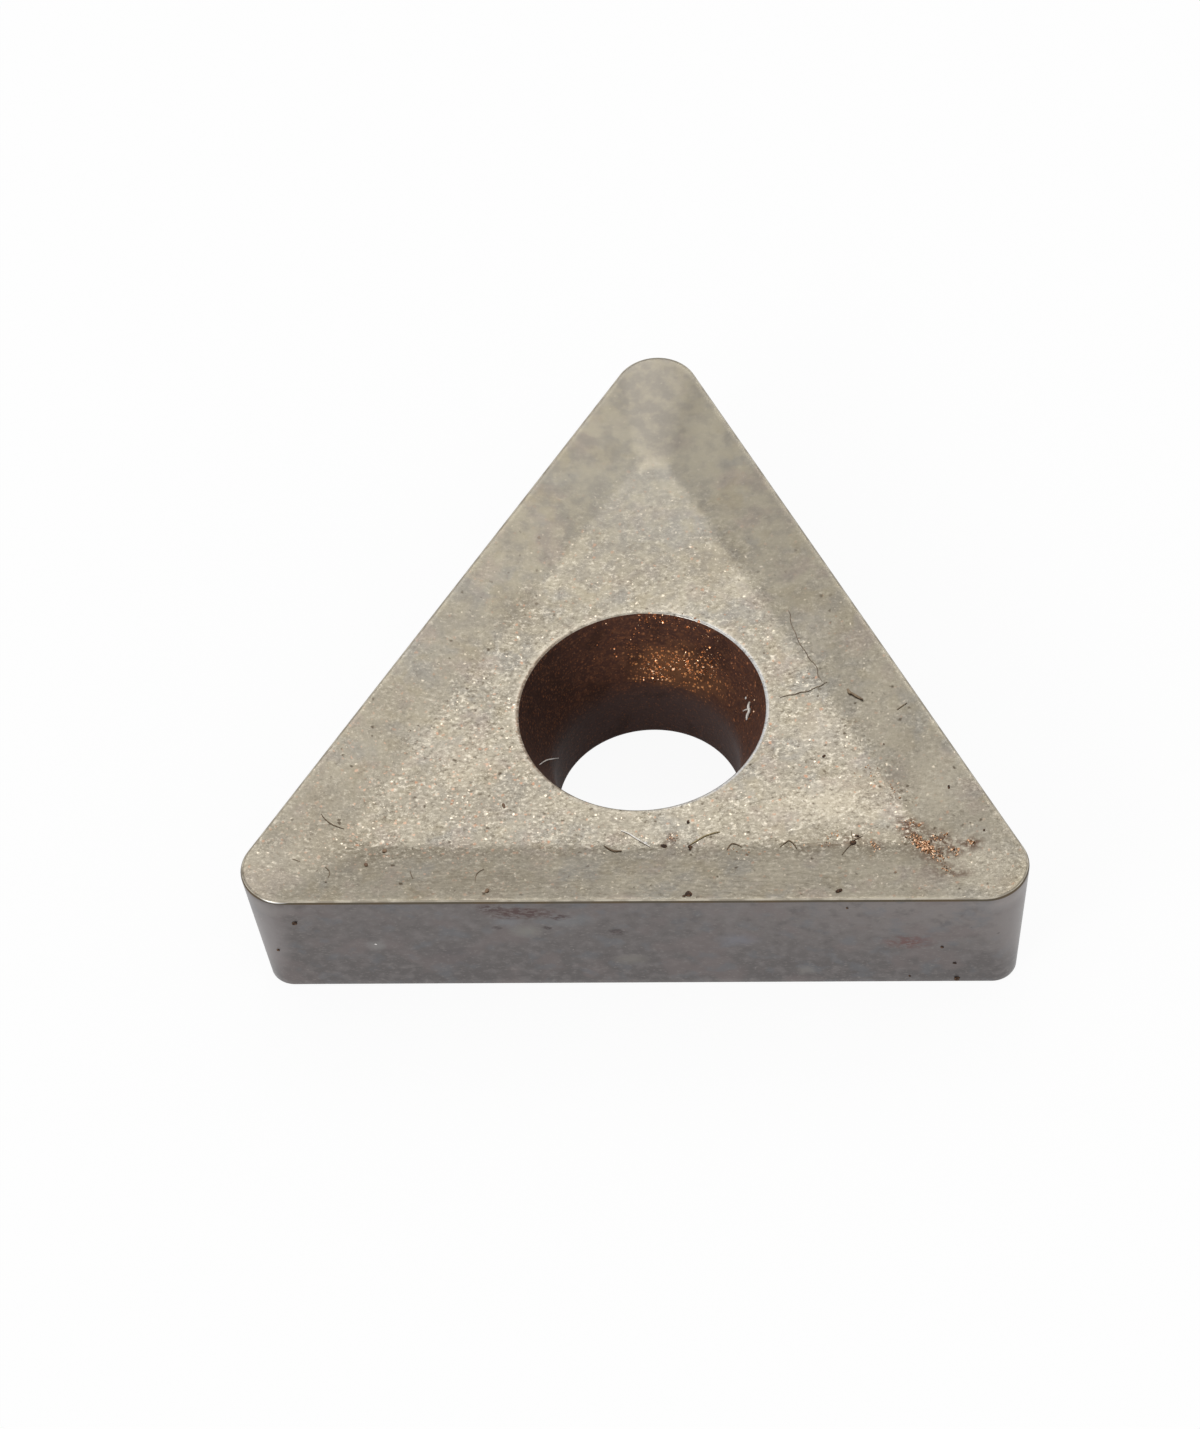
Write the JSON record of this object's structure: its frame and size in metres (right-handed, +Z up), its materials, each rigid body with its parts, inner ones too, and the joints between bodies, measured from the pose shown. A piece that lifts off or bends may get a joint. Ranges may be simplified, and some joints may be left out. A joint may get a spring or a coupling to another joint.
{
  "type": "carbide insert",
  "caption": "Triangular turning insert with rounded noses, leaned-in flanks, a sunken chip-breaker floor and a countersunk screw hole.",
  "frame": {"origin": "where the axis of the screw hole meets the flat seat face on the underside", "axes": "+Z up the screw hole towards the cutting edges, +Y towards one nose, X along the cutting edge opposite that nose"},
  "size_m": [0.0152, 0.0135, 0.0032],
  "materials": {
    "cemented_carbide": "as-sintered, dull and finely grained"
  },
  "bodies": {
    "root": {"carbide_insert": "cemented_carbide"}
  },
  "joints": []
}
